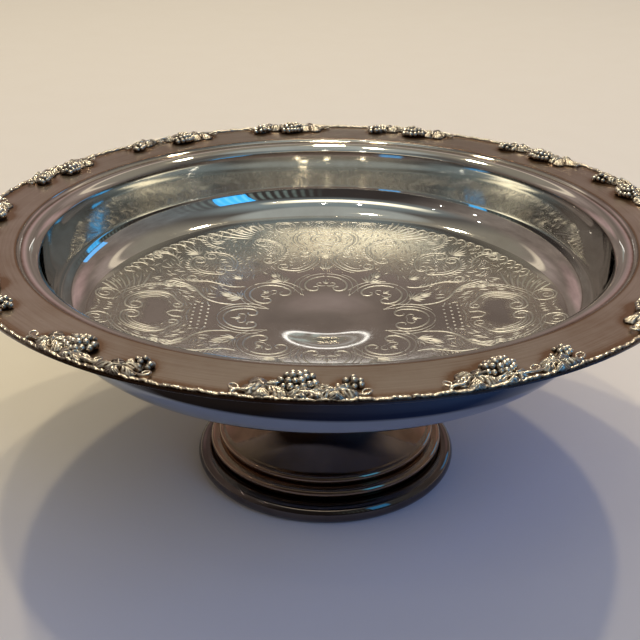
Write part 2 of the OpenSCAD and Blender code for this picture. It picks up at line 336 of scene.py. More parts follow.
# natural cubic spline through a few places, by length along their chords
def curve(places, step=0.5):
    p = np.array(places, float)
    h = np.linalg.norm(np.diff(p, axis=0), axis=1)
    t = np.concatenate([[0], np.cumsum(h)])
    n = len(p)
    a, b = np.eye(n), np.zeros((n, 2))
    for i in range(1, n - 1):
        a[i, i - 1:i + 2] = h[i - 1], 2*(h[i - 1] + h[i]), h[i]
        b[i] = 6*((p[i + 1] - p[i])/h[i] - (p[i] - p[i - 1])/h[i - 1])
    m = np.linalg.solve(a, b)
    s = np.linspace(0, t[-1], max(4, int(t[-1]/step) + 1))
    i = np.clip(np.searchsorted(t, s) - 1, 0, n - 2)
    u, w, hi = (t[i + 1] - s)[:, None], (s - t[i])[:, None], h[i][:, None]
    bent = (m[i]*u**3 + m[i + 1]*w**3)/(6*hi)
    return bent + (p[i]/hi - m[i]*hi/6)*u + (p[i + 1]/hi - m[i + 1]*hi/6)*w


# places laid round the rim: turn in degrees, way along it in millimetres at radius r
def onRim(turn, way, r, z):
    a = np.radians(turn) + np.asarray(way)/np.asarray(r)
    return np.stack(np.broadcast_arrays(r*np.cos(a), r*np.sin(a), z), -1)


# a form drawn flat, its first axis towards the bowl's axis, spun, set on the flange, drawn in past the edge
def laid(local, turn, way, r, spin):
    c, s = math.cos(math.radians(spin)), math.sin(math.radians(spin))
    inward = local[..., 0]*c - local[..., 1]*s
    side = local[..., 0]*s + local[..., 1]*c
    edge = bowl["rimR"] - border["edgeIn"]
    out = r - inward
    out = np.where(out > edge, edge + border["edgeShare"]*(out - edge), out)
    return onRim(turn, way + side, out, bowl["flangeZ"] + local[..., 2])


# ball as rings of latitude
def ball(centre, radii, nu=12, nv=9):
    u = 2*np.pi*np.arange(nu)/nu
    v = np.linspace(0, np.pi, nv)
    unit = np.stack([np.cos(u)[:, None]*np.sin(v), np.sin(u)[:, None]*np.sin(v),
                     np.broadcast_to(np.cos(v), (nu, nv))], -1)
    return unit*np.array(radii) + np.array(centre)


# tube of radius r (may vary) along a path: rings square to it
def tube(path, r, sides=8):
    p = np.asarray(path, float)
    t = np.gradient(p, axis=0)
    t /= np.linalg.norm(t, axis=1)[:, None]
    side = np.cross(t, [0, 0, 1.0])
    side /= np.maximum(np.linalg.norm(side, axis=1)[:, None], 1e-9)
    up = np.cross(side, t)
    a = 2*np.pi*np.arange(sides)/sides
    r = np.broadcast_to(r, len(p))[:, None, None]
    ring = np.cos(a)[None, :, None]*side[:, None] + np.sin(a)[None, :, None]*up[:, None]
    return p[:, None] + r*ring


# uneven cast skin between about -1 and 1: mean of waves of about one length that run in chance directions
def grain(x, y, length, local, waves=6, gain=1.6):
    way, phase = local.uniform(0, 2*np.pi, (2, waves))
    k = 2*np.pi/(length*local.uniform(0.8, 1.25, waves))
    each = [np.sin(k[i]*(x*np.cos(way[i]) + y*np.sin(way[i])) + phase[i]) for i in range(waves)]
    return gain*np.mean(each, 0)


leaf = dict(lobes=5, lobeShake=0.13, waist=0.58, lobePower=0.55, teeth=19, tooth=0.07, around=150, rings=24,
            rib=1.05, ribH=0.2, ribSlant=0.55, midribW=0.38, midribH=0.24, grooveW=0.75, grooveD=0.3,
            grooveGrow=1.6, reliefEnd=1.02, reliefPower=0.6, grainL=0.9, grainH=0.09, crown=0.55,
            swellFrom=0.2, swellSpan=0.6, edgeDrop=0.7, edgePower=4, skirtIn=0.96, skirtZ=-0.05,
            # tarnish and painted shade: amount on the level, gain with depth, more at the edge
            dark=0.42, darkGain=3.2, edgeDark=0.35, darkPower=8)


# vine leaf in its own plane: toothed lobes about a centre, each a swelling with a raised midrib,
# slanting ribs off it, a groove to the next lobe and an edge that turns down
def leafGrid(reach, height, seed):
    f = leaf
    local = np.random.default_rng(seed)
    n, half = f["lobes"], f["lobes"]/2
    a = 2*np.pi*np.arange(f["around"])/f["around"]
    s = np.linspace(0, 1, f["rings"])
    lobeL = 1 + f["lobeShake"]*local.standard_normal(n)
    sector = np.round(a/(2*np.pi/n)).astype(int) % n
    lobe = np.abs(np.cos(half*a))
    teeth = 1 + f["tooth"]*(np.mod(a*f["teeth"]/(2*np.pi) + local.uniform(), 1.0) - 0.5)
    outline = reach*(f["waist"] + (1 - f["waist"])*lobe**f["lobePower"])*(1 + (lobeL[sector] - 1)*lobe)*teeth
    rho = outline[:, None]*s
    x, y = rho*np.cos(a)[:, None], rho*np.sin(a)[:, None]
    off = np.sin(half*a)[:, None]*rho
    midrib = np.exp(-(off/f["midribW"])**2)
    groove = np.exp(-(np.cos(half*a)[:, None]*rho/f["grooveW"])**2)
    groove = groove*np.clip(s*f["grooveGrow"], 0, 1)
    ribs = np.cos(2*np.pi*(rho - f["ribSlant"]*np.abs(off))/f["rib"])
    inside = np.sin(np.pi*np.clip(s*f["reliefEnd"], 0, 1))**f["reliefPower"]
    relief = inside*(f["ribH"]*ribs*(1 - midrib) + f["midribH"]*midrib - f["grooveD"]*groove)
    relief = relief + f["grainH"]*grain(x, y, f["grainL"], local)
    arch = np.sin(np.pi*(f["swellFrom"] + f["swellSpan"]*s))
    swell = f["crown"] + (1 - f["crown"])*lobe[:, None]*arch
    z = height*swell*(1 - f["edgeDrop"]*s**f["edgePower"]) + relief
    # painted shade with tarnish: darker in the leaf's dips and towards its turned-down edge; the skirt under
    # the edge is painted fully dark
    hollow = np.clip(f["dark"] - f["darkGain"]*relief, 0, 1) + f["edgeDark"]*s**f["darkPower"]
    skirt = np.stack([x[:, -1]*f["skirtIn"], y[:, -1]*f["skirtIn"], np.full(len(a), f["skirtZ"])], -1)
    grid = np.concatenate([np.stack([x, y, z], -1), skirt[:, None]], 1)
    return grid, np.concatenate([np.clip(hollow, 0, 1), np.ones((len(a), 1))], 1)


# each bunch: grapes in each column, half length, half width, height, inward from the rim, way from its place,
# a grape's diameter and the furthest spin; gains are shares by which girth and grapes grow to the end
grapes = dict(bunch=dict(columns=[1, 3, 4, 5, 5, 4, 3], long=5.6, wide=3.2, tall=2.7, inward=7.8, way=0.4,
                         grape=2.05, spin=-20),
              smallBunch=dict(columns=[2, 3, 4, 3], long=3.3, wide=2.0, tall=2.0, inward=7.4, way=1.2,
                              grape=1.85, spin=-30),
              span=0.86, taper=0.9, girthGain=0.2, archStart=0.05, lift=0.35, shake=0.13, sizeGain=0.13,
              sizeShake=0.08, coreWide=0.8, coreLong=0.88, coreTall=0.85, coreZ=-0.05, coreSides=20,
              coreRings=11, dark=0.72, darkPower=0.7)


# heap of grapes: columns across half an egg, each column's grapes spread evenly over its arch, on a core
# painted dark as shade
def bunchSheets(bunch, turn, way, spin, seed):
    h = grapes
    r, long = bowl["rimR"] - bunch["inward"], bunch["long"]
    local = np.random.default_rng(seed)
    out = []
    for i, n in enumerate(bunch["columns"]):
        f = 2*i/(len(bunch["columns"]) - 1) - 1
        girth = math.sqrt(1 - (h["taper"]*f)**2)*(1 + h["girthGain"]*f)
        along = long*h["span"]*f
        middle = laid(np.array([[0, along, 0.0]]), turn, way, r, spin)[0]
        for j in range(n):
            a = math.pi*(h["archStart"] + (1 - 2*h["archStart"])*(j + 0.5)/n)
            high = h["lift"] + bunch["tall"]*girth*math.sin(a)
            place = np.array([-bunch["wide"]*girth*math.cos(a), along, high])
            c = laid((place + local.normal(0, h["shake"], 3))[None], turn, way, r, spin)[0]
            radius = bunch["grape"]/2*(1 + h["sizeGain"]*f + h["sizeShake"]*local.standard_normal())
            g = ball(c, (radius, radius, radius))
            away = (c - middle)/max(np.linalg.norm(c - middle), 1e-6)
            # painted shade with tarnish: each grape darker on its side towards the bunch's middle
            under = np.clip(h["dark"] - ((g - c)/radius) @ away, 0, 1)**h["darkPower"]
            out.append(sheet(g, closeU=True, poleStart=True, poleEnd=True, flip=True, hollow=under))
    # core under the grapes, painted fully dark as shade
    size = (bunch["wide"]*h["coreWide"], long*h["coreLong"], bunch["tall"]*h["coreTall"])
    core = ball((0, 0, 0), size, h["coreSides"], h["coreRings"])
    core[..., 2] = np.maximum(core[..., 2], h["coreZ"])
    out.append(sheet(laid(core, turn, way, r, spin), closeU=True, poleStart=True, poleEnd=True, hollow=1.0))
    return out


# stem or tendril: a tube along a spline through a few places on the rim, thinning with the square of the way
def wire(turn, ways, ins, heights, thick, step=0.3, thinning=0.45, tip=0.03, dark=0.1):
    path = curve(np.stack([ways, bowl["rimR"] - np.array(ins)], 1), step)
    u = np.linspace(0, 1, len(path))
    z = bowl["flangeZ"] + np.interp(u, np.linspace(0, 1, len(heights)), heights)
    r = thick*(1 - thinning*u**2)
    r[[0, -1]] = tip
    return sheet(tube(onRim(turn, path[:, 0], path[:, 1], z), r), closeV=True, hollow=dark)


# each wave of the rail: weight, number to a nugget, shift from one length to the next
rail = dict(width=1.8, height=1.0, nugget=1.9, rings=300, sides=13, sunk=0.02, seamGap=0.03,
            waves=[(0.35, 1.0, 0), (0.7, 0.61, 1), (1.0, 0.23, 2)], low=0.76, swell=0.32, roundness=0.8,
            narrow=0.1, narrowWave=(0.37, 3), drift=0.1, driftWave=(0.17, 1),
            ripple=0.07, rippleWave=(1.7, 3),
            # tarnish on top; painted shade: start and end of the outer side's, the inner foot's and its
            # sharpness
            dark=0.2, outerDark=1.3, outerTo=55.0, footDark=0.5, footPower=6)


# rail on the rim's edge: half round, its height the sum of a few waves along the rim, its width and place one
# wave each, a fine ripple over all; painted shade on its outer side and at its inner foot
def railSheet(k):
    v, rim = rail, bowl["rimR"]
    start, end = border["turn"] + seamAt(k - 1), border["turn"] + seamAt(k)
    a = np.radians(np.linspace(start + v["seamGap"], end - v["seamGap"], v["rings"]))
    t = np.radians(np.linspace(0, 180, v["sides"]))
    way = 2*np.pi*a*rim/v["nugget"]

    def wave(number, shift):
        return np.sin(number*way + shift*k)

    weight = sum(w for w, number, shift in v["waves"])
    lump = sum(w*wave(number, shift) for w, number, shift in v["waves"])/weight
    width = (v["width"]*(1 - v["narrow"] + v["narrow"]*wave(*v["narrowWave"])))[:, None]
    tall = (v["height"]*(v["low"] + v["swell"]*lump))[:, None]
    r = rim - width/2 - v["drift"]*(1 + wave(*v["driftWave"]))[:, None] + width/2*np.cos(t)
    ripple = v["ripple"]*np.sin(t)*np.sin(v["rippleWave"][0]*way[:, None] + v["rippleWave"][1]*t)
    z = bowl["flangeZ"] - v["sunk"] + tall*np.sin(t)**v["roundness"] + ripple
    grid = np.stack([r*np.cos(a)[:, None], r*np.sin(a)[:, None], z], -1)
    ends = [np.broadcast_to(g.mean(0), g.shape)[None] for g in (grid[0], grid[-1])]
    # painted shade on the outer side and at the inner foot, over a tarnish tone
    outside = np.clip(v["outerDark"] - t/math.radians(v["outerTo"]), 0, 1)
    innerFoot = v["footDark"]*np.maximum(-np.cos(t), 0)**v["footPower"]
    dark = np.clip(v["dark"] + outside + innerFoot, 0, 1)
    return sheet(np.concatenate([ends[0], grid, ends[1]]), hollow=dark)


# one border length: rail, three leaves, two bunches, stems, tendril and curls, with chance tilts of its own
def borderSheets(k):
    b, rim = border, bowl["rimR"]
    local = np.random.default_rng(50 + k)
    turn, small = b["turn"] + vineAt(k), smallAt(k)
    smallLeaf = (small + b["smallLeaf"][0],) + b["smallLeaf"][1:]
    out = [railSheet(k)]
    for i, (way, inward, spin, reach, stretch, tall) in enumerate(b["leaves"] + [smallLeaf]):
        tilt = local.uniform(-b["leafTilt"], b["leafTilt"])
        way += local.uniform(-b["leafShake"], b["leafShake"])
        g, hollow = leafGrid(reach, b["leafH"]*tall, 100*k + i)
        # the stretch is along the rim, so the lobes are turned before it and not after
        c, s = math.cos(math.radians(spin)), math.sin(math.radians(spin))
        g = np.stack([g[..., 0]*c - g[..., 1]*s, stretch*(g[..., 0]*s + g[..., 1]*c), g[..., 2]], -1)
        g = laid(g, turn, way, rim - inward, tilt)
        out.append(sheet(g, closeU=True, poleStart=True, hollow=hollow))
    for name, way, seed in (("bunch", 0, 200 + k), ("smallBunch", small, 300 + k)):
        bunch = grapes[name]
        out += bunchSheets(bunch, turn, way + bunch["way"], local.uniform(bunch["spin"], 0), seed)
    first, last = b["stems"]
    out.append(wire(turn, *first, b["stem"]))
    out.append(wire(turn, *b["tendrilAt"], b["tendril"]))
    out.append(wire(turn, last[0] + [small + b["stemEnd"]], *last[1:], b["stem"]))
    for way, side, inward, second in b["curls"]:
        ways = way + second*small + side*np.array(b["curlWays"])
        out.append(wire(turn, ways, inward - np.array(b["curlOuts"]), b["curlHeights"], b["tendril"]))
    return out


chasing = dict(relief=0.17, sunk=0.02, dotR=0.55, dotH=0.13, dotSides=8, dotRings=4, edgeR=86.5, innerR=58.0,
               # a stroke across: places as shares of its half width, height and painted edge shade at each
               across=[-1, -0.62, 0, 0.62, 1.0], crown=[-0.35, 0.62, 1.0, 0.62, -0.35],
               dark=[1.0, 0.2, 0.0, 0.2, 1.0],
               # a stroke along: where it dies away, least width, width at the ends and gain in the middle
               endL=0.8, leastGrow=0.1, endW=0.62, middleGain=0.5,
               beadL=1.1, beadSwell=0.25, toothL=1.4, toothLow=0.75, toothRise=0.55, taperPower=0.7,
               # short strokes that fill the ground: tries, distance kept, ring they start in, chance values
               commas=6500, gap=0.85, commaR=42.0, commaSpan=43.5, commaW=0.7, commaSlant=(12, 32),
               commaL=(2.6, 5.6), commaBend=0.22,
               # places that stay plain, in one quarter: x, y, radius
               plain=[(64, 0, 11.5), (47, 0, 9.5), (0, 54, 6), (46.0, 26.0, 5.0), (26.0, 46.0, 5.0)])


# clothoid chain: curvature goes evenly from one run's value to the next, heading sums it, place sums heading
def walk(start, heading, runs, step=0.5):
    k, ds, last = [], [], runs[0][1]
    for length, end in runs:
        n = max(2, int(np.ceil(length/step)))
        k.append(last + (end - last)*(np.arange(n) + 0.5)/n)
        ds.append(np.full(n, length/n))
        last = end
    k, ds = np.concatenate(k), np.concatenate(ds)
    turn = np.radians(heading) + np.concatenate([[0], np.cumsum(k*ds)])
    mid = (turn[1:] + turn[:-1])/2
    steps = ds[:, None]*np.stack([np.cos(mid), np.sin(mid)], 1)
    return np.array(start, float) + np.concatenate([[[0, 0]], np.cumsum(steps, 0)])


# spiral joined to a path's end: curvature grows evenly while it turns, to the left for side 1
def hook(path, side, radius, turns, tightest=0.42, lead=0.4, slow=0.6, slowRise=0.25, fast=0.55, step=0.35):
    d = path[-1] - path[-2]
    k0, k1 = 1/radius, 1/(tightest*radius)
    length = 4*np.pi*turns/(k0 + k1)
    runs = [(lead, side*k0), (length*slow, side*(k0 + slowRise*(k1 - k0))), (length*fast, side*k1)]
    tail = walk(path[-1], np.degrees(np.arctan2(d[1], d[0])), runs, step)
    return np.concatenate([path, tail[1:]])


# spirals at both ends of a path, each as side, radius and turns
def hooked(path, first, last):
    return hook(hook(path, *last)[::-1], *first)[::-1]


# path turned about the axis
def turned(p, deg):
    a = np.radians(deg)
    return p @ np.array([[np.cos(a), np.sin(a)], [-np.sin(a), np.cos(a)]])


# path moved sideways by d to its left
def aside(p, d):
    t = np.gradient(p, axis=0)
    t /= np.linalg.norm(t, axis=1)[:, None]
    return p + d*np.stack([-t[:, 1], t[:, 0]], 1)


# stretch of a path between two shares of its points
def part(p, a, b):
    return p[int(len(p)*a):max(int(len(p)*b), int(len(p)*a) + 3)]


# fan of tapered strokes from one root, the middle one longest
def fan(root, heading, count, spread, length, bend, shrink=0.35, width=1.0):
    return [(walk(root, heading + spread*f, [(length*(1 - shrink*abs(f)), -bend*f)]), width, "taper")
            for f in np.linspace(-1, 1, count)]


# length along a path at each of its points
def lengths(p):
    return np.concatenate([[0], np.cumsum(np.linalg.norm(np.diff(p, axis=0), axis=1))])


# tapered strokes to one side of a path, every so many millimetres, each turned off the path's way
def fringe(p, every, turn, length, bend, first=0.05, last=0.95, shrink=0.45, width=0.8):
    s = lengths(p)
    at = np.arange(first*s[-1], last*s[-1], every)
    t = np.gradient(p, axis=0)
    way = np.interp(at, s, np.unwrap(np.arctan2(t[:, 1], t[:, 0])))
    x, y = np.interp(at, s, p[:, 0]), np.interp(at, s, p[:, 1])
    long = length*(1 - shrink*at/s[-1])
    return [(walk((x[i], y[i]), np.degrees(way[i]) + turn, [(long[i], bend)]), width, "taper")
            for i in range(len(at))]


# strokes and the same ones mirrored about the motif's middle line
def mirrored(strokes):
    return strokes + [(p*np.array([1, -1]), w, k) for p, w, k in strokes]


# motifs: strokes as path, width and kind, drawn with x out from the bowl's middle; a cartouche is a C scroll
# with two outlines and a small palmette
def cartouche():
    main = walk((37.65, 0), 90, [(12.6, 1/8.2), (4.5, 1/3.0), (5, 1/1.8), (3.2, 1/1.0)])
    rim = walk((39.9, 0), 90, [(17.5, 1/10.3), (3, 0), (4.5, -1/3.5)])
    flank = walk((39.4, 6.0), 116, [(12, 1/11.4), (3, 0), (3, -1/5)])
    curl = walk((29.8, 0.0), 120, [(2.0, -1/3), (3.6, -1/1.1), (2.2, -1/0.7)])
    out = [(main, 1.05, "bead"), (rim, 0.6, "plain"), (flank, 0.55, "plain"), (curl, 0.6, "plain")]
    return mirrored(out) + fan((31.2, 0), 0, 3, 34, 4.0, 0)


# acanthus in the corner between two cartouches, beyond their flanks
def spray():
    out = fan((36.4, 0), 0, 7, 78, 7.6, 0.10) + fan((40.6, 0), 0, 5, 52, 6.0, 0.14)
    return out + [(walk((35.0, 0), 0, [(4.0, 0)]), 0.9, "taper")]


feather = dict(count=8, every=1.25, drop=0.1, turn=6, length=15.0, shorter=0.9, bend=0.012, more=0.011,
               width=1.3)


# long feathers side by side, each shorter and bent outwards a little more
def plume(root, heading):
    f = feather
    out = []
    for i in range(f["count"]):
        start = (root[0] + f["every"]*i, root[1] - f["drop"]*i*i)
        runs = [(f["length"] - f["shorter"]*i, -f["bend"] - f["more"]*i)]
        out.append((walk(start, heading - f["turn"]*i, runs), f["width"], "taper"))
    return out


# beaded ring in the outer zone with a scroll inside it
def outerRing(start, heading):
    ring = walk(start, heading, [(26, -1/4.4)])
    inner = hook(walk((start[0] + 2.1, start[1]), heading, [(8.5, -1/2.8)]), -1, 2.4, 0.9)
    return [(ring, 1.0, "bead"), (inner, 0.75, "plain")]


# great C scroll to the left and right, ribbed within, with a strap, a branch, a plume and a ring on each side
def sideMedallion():
    spine = [(74, 4.5), (73.6, 8.5), (71, 12.6), (66.5, 15.3), (61.5, 16.2), (57.6, 14.2)]
    scroll = hooked(curve(spine + [(56, 11.4), (53.8, 8.8)]), (-1, 3.7, 1.35), (1, 2.2, 1.1))
    body = curve(spine)
    out = [(scroll, 1.1, "bead"), (aside(body, 1.3), 0.5, "plain"), (aside(body, 2.4), 0.9, "plain"),
           (part(aside(body, 3.7), 0.1, 0.85), 0.6, "plain"),
           (part(aside(body, -1.2), 0.1, 0.9), 0.5, "plain"),
           (curve([(52.2, 4.4), (52.9, 2.4), (55.0, 2.5), (58.4, 0)]), 0.9, "bead"),
           (curve([(50.2, 5.2), (50.9, 2.2), (51.0, 0)]), 0.7, "plain")]
    strap = hook(curve([(33.5, 11.3), (38, 11.3), (42.5, 12.6), (46.5, 16), (49.3, 20.8), (53.2, 25),
                        (58.5, 27.0)]), -1, 3.2, 1.0)
    thin = curve([(55.6, 22.4), (62, 22.7), (68, 20.3), (73, 16), (76.4, 10.5), (77.2, 5)])
    out += [(strap, 1.15, "serrate"), (thin, 0.6, "plain"), (aside(thin, 1.4), 0.6, "plain")]
    out += fringe(part(thin, 0, 0.5), 1.7, 150, 3.2, 0.15)
    out += fringe(part(strap, 0.35, 0.75), 1.8, -62, 4.2, 0.14)
    branch = hook(curve([(31, 27), (36, 26), (40, 27.2), (45, 29), (51, 28.4)]), 1, 2.6, 1.1)
    out += [(branch, 1.1, "serrate")] + fringe(part(branch, 0.1, 0.7), 1.7, 58, 3.6, -0.12)
    out += plume((70.5, 18.0), 104) + outerRing((76.8, 11), 80)
    return mirrored(out + [(walk((75.4, 8), 84, [(9, 1/40), (8, 1/20)]), 0.7, "plain")])


# rows of punched dots across the side medallion's straps: distance out, half length
def sideDots(every=3.0):
    rows = [(43.6, 9), (46.2, 10.5), (48.8, 9)]
    return np.array([(u, v) for u, half in rows for v in np.arange(-half, half + 0.1, every)])


# scrolls about an oval at the near and far side, with branches, plumes and rings
def endMedallion():
    body = curve([(57.5, 6.5), (53, 3.6), (46.4, 6.2), (42.2, 11.8), (43.0, 17.4)])
    out = [(hooked(body, (1, 2.5, 1.3), (-1, 2.5, 1.3)), 1.1, "bead"),
           (part(aside(body, -1.9), 0.1, 0.9), 0.7, "plain"),
           (part(aside(body, 1.5), 0.2, 0.8), 0.6, "plain")]
    side = curve([(49, 21), (55, 17.5), (61, 17), (66, 20.5), (68, 26)])
    side = hooked(side, (-1, 2.6, 1.2), (1, 3.0, 1.3))
    out += [(side, 1.1, "serrate")] + fringe(part(side, 0.3, 0.75), 1.7, 55, 4.6, -0.12)
    out += fringe(part(side, 0.3, 0.7), 1.9, -60, 3.4, 0.12)
    upper = curve([(62.5, 8.5), (67, 11.8), (72.5, 11.5), (76, 7)])
    out += [(hooked(upper, (-1, 2.2, 1.2), (-1, 2.4, 1.2)), 1.0, "bead"), (aside(upper, 1.6), 0.6, "plain")]
    out = mirrored(out + plume((68.0, 30.5), 92) + outerRing((74.5, 17.5), 84))
    t = np.linspace(0, 2*np.pi, 64)
    for size, width in ((1.0, 1.0), (0.72, 0.7)):
        out.append((np.stack([69.5 + 4.6*size*np.cos(t), 6.3*size*np.sin(t)], 1), width, "bead"))
    return out + fan((43.6, 0), 0, 5, 55, 7.2, 0.06) + fan((78.4, 0), 0, 5, 60, 6.0, 0.08)


# pair of scrolls with fringes and fans between the medallions
def diagonal():
    body = curve([(55, 4.2), (60, 8.8), (66.5, 9.2), (71, 5.0)])
    scroll = hooked(body, (1, 2.6, 1.2), (-1, 3.0, 1.4))
    out = [(scroll, 1.05, "bead"), (part(aside(body, -1.6), 0.1, 0.9), 0.7, "plain")]
    out += fringe(part(scroll, 0.35, 0.65), 1.7, 60, 4.4, -0.12)
    branch = hook(curve([(70, 12), (75, 9.5), (79.5, 9.8), (82.3, 13.2)]), 1, 2.4, 1.2)
    out += [(branch, 1.0, "serrate")] + fringe(part(branch, 0.05, 0.6), 1.6, -58, 3.6, 0.1)
    return mirrored(out) + fan((72.5, 0), 0, 7, 66, 8.8, 0.07) + fan((46.5, 0), 0, 5, 48, 6.4, 0.08)


# small scrolls that edge the ornament all round
def edgeScroll():
    c = hook(curve([(79.4, -2.2), (82.6, -2.7), (84.8, -0.6)]), 1, 1.9, 1.0)
    return [(c, 0.8, "plain"), (walk((80.2, 0.6), 20, [(4.2, 0.1)]), 0.9, "taper")]


# each motif at its turns about the bowl's middle, then the short strokes between them, and the dots
def pattern():
    quarters = (0, 90, 180, 270)
    motifs = [(cartouche(), range(0, 360, 45)), (spray(), [a + s*27.5 for a in quarters for s in (-1, 1)]),
              (sideMedallion(), (0, 180)), (endMedallion(), (90, 270)), (diagonal(), (45, 135, 225, 315)),
              (edgeScroll(), [22 + a + 3.2*i for i in range(15) for a in quarters])]
    strokes = [(turned(p, a), w, k) for motif, turns in motifs for a in turns for p, w, k in motif]
    dots = np.concatenate([turned(sideDots(), a) for a in (0, 180)])
    return strokes + commas(strokes), dots


# short comma strokes slanting off the nearest line, in what the ornament leaves free, alike in all quarters
def commas(strokes, margin=4.0):
    c = chasing
    local = np.random.default_rng(3)
    at = np.concatenate([p for p, w, k in strokes])
    t = np.concatenate([np.gradient(p, axis=0) for p, w, k in strokes])
    near = (at[:, 0] > -margin) & (at[:, 1] > -margin)
    at, way = at[near], np.arctan2(t[:, 1], t[:, 0])[near]
    plain = np.array(c["plain"])
    out = []
    for i in range(c["commas"]):
        r, a = c["commaR"] + c["commaSpan"]*math.sqrt(local.random()), local.uniform(0, math.pi/2)
        slant, length = local.uniform(*c["commaSlant"]), local.uniform(*c["commaL"])
        bend = local.uniform(-c["commaBend"], c["commaBend"])
        place = r*np.array([math.cos(a), math.sin(a)])
        if (np.hypot(*(plain[:, :2] - place).T) < plain[:, 2]).any():
            continue
        away = np.hypot(*(at - place).T)
        j = np.argmin(away)
        if away[j] < c["gap"]:
            continue
        path = walk(place, np.degrees(way[j]) + local.choice((-1, 1))*slant, [(length, bend)])
        far = np.hypot(*path.T).max() > c["edgeR"] or path.min() < 0
        if far or min(np.hypot(*(at - p).T).min() for p in path[::2]) < c["gap"]:
            continue
        at = np.concatenate([at, path])
        way = np.concatenate([way, np.full(len(path), way[j])])
        out += [(path*np.array(s), c["commaW"], "taper") for s in ((1, 1), (-1, 1), (1, -1), (-1, -1))]
    return out


# how a stroke swells along its length s: even, in beads as a cosine, in teeth as a saw, or as half a sine
def swellOf(kind, s):
    c = chasing
    if kind == "bead":
        return 1 + c["beadSwell"]*np.cos(2*np.pi*s/c["beadL"])
    if kind == "serrate":
        return c["toothLow"] + c["toothRise"]*np.mod(s/c["toothL"], 1.0)
    if kind == "taper":
        return np.sin(np.pi*np.clip(s/s[-1], 0, 1))**c["taperPower"]
    return np.ones_like(s)


# chased line as a strip along its path on the dish: width and height swell with its kind and end in nothing
def strip(path, width, kind):
    c = chasing
    s = lengths(path)
    grow = np.clip(np.minimum(s, s[-1] - s)/c["endL"], 0, 1)**0.5
    t = np.gradient(path, axis=0)
    t /= np.linalg.norm(t, axis=1)[:, None]
    left = np.stack([-t[:, 1], t[:, 0]], 1)
    width = width*(c["endW"] + c["middleGain"]*np.sin(np.pi*s/s[-1]))*swellOf(kind, s)
    half = width/2*np.maximum(grow, c["leastGrow"])
    xy = path[:, None] + left[:, None]*(half[:, None]*np.array(c["across"]))[..., None]
    height = np.array(c["crown"])*c["relief"]*(width*grow)[:, None] - c["sunk"]*(1 - grow)[:, None]
    z = dishZ(np.hypot(xy[..., 0], xy[..., 1])) + height
    # painted shade along both edges of the stroke
    return sheet(np.concatenate([xy, z[..., None]], -1), hollow=np.array(c["dark"]))


# punched dot: a low dome, its height falling with the square of the way out
def dome(x, y):
    c = chasing
    u = 2*np.pi*np.arange(c["dotSides"])/c["dotSides"]
    v = np.linspace(0, 1, c["dotRings"])
    px, py = x + c["dotR"]*np.cos(u)[:, None]*v, y + c["dotR"]*np.sin(u)[:, None]*v
    z = dishZ(np.hypot(px, py)) + c["dotH"]*(1 - v*v) - c["sunk"]
    return sheet(np.stack([px, py, z], -1), closeU=True, poleStart=True, flip=True)


# ground between the strokes: half width of the cells, plain middle, its fade and least share, count that
# means none and how much more means full
ground = dict(half=95, plainR=38.0, fadeW=12.0, least=0.08, none=0.08, span=0.4, blurs=3)


# share of worked ground about a place: points of the strokes counted in cells of a millimetre, then blurred
def workedAt(strokes, x, y):
    g, half = ground, ground["half"]
    cells = np.zeros((2*half, 2*half))
    p = np.concatenate([p for p, w, k in strokes])
    np.add.at(cells, tuple((p + half).astype(int).T), 1.0)
    for axis in (0, 1)*g["blurs"]:
        cells = (np.roll(cells, 1, axis) + cells + np.roll(cells, -1, axis))/3
    i, j = (np.clip(v + half, 0, 2*half - 1).astype(int) for v in (x, y))
    fade = np.clip((np.hypot(x, y) - g["plainR"])/g["fadeW"], g["least"], 1)
    return fade*np.clip((cells[i, j] - g["none"])/g["span"], 0, 1)


flangeShade = dict(leafShare=0.85, bunchR=4.0, smallLeafR=4.4, smallBunchR=2.4, fall=2.4, amount=0.85,
            edgeR=119.5, edgeW=3.5, edgeAmount=0.55, flangeGap=0.5, stepGap=0.6,
            # painted shade lines: width and depth in the groove, at the step's top and at the wall's top
            grooveLine=(0.55, 0.9), stepLine=(0.35, 0.7), wallLine=(0.3, 0.6))


# painted shade on the flange: full beside a casting, falling off as a bell with the distance from its edge,
# and rising towards the rim's edge; bells of painted shade along the groove and the step's edges too
def flangeShadeAt(x, y, z):
    h, b = flangeShade, border
    grooveR = bowl["rimR"] - bowl["flangeW"]
    leaves = [(way, inward, h["leafShare"]*reach) for way, inward, spin, reach, stretch, tall in b["leaves"]]
    bunch, smallBunch = grapes["bunch"], grapes["smallBunch"]
    out = np.zeros_like(x)
    for k in range(b["sections"]):
        spots = leaves + [(bunch["way"], bunch["inward"], h["bunchR"]),
                          (smallAt(k), b["smallLeaf"][1], h["smallLeafR"]),
                          (smallAt(k) + smallBunch["way"], smallBunch["inward"], h["smallBunchR"])]
        for way, inward, reach in spots:
            c = onRim(b["turn"] + vineAt(k), way, bowl["rimR"] - inward, 0.0)
            away = np.maximum(np.hypot(x - c[0], y - c[1]) - reach, 0)
            out = np.maximum(out, np.exp(-(away/h["fall"])**2))
    r = np.hypot(x, y)
    edge = h["edgeAmount"]*np.clip((r - h["edgeR"])/h["edgeW"], 0, 1)
    flange = np.where(r > grooveR + h["flangeGap"], np.maximum(h["amount"]*out, edge), 0)
    lines = [(grooveR - bowl["grooveW"], *h["grooveLine"]), (grooveR, *h["stepLine"]),
             (grooveR - bowl["stepW"], *h["wallLine"])]
    grooves = sum(deep*np.exp(-((r - at)/wide)**2) for at, wide, deep in lines)
    above = z > bowl["flangeZ"] - bowl["stepDrop"] - h["stepGap"]
    return np.where(above, np.maximum(flange, grooves), flange)


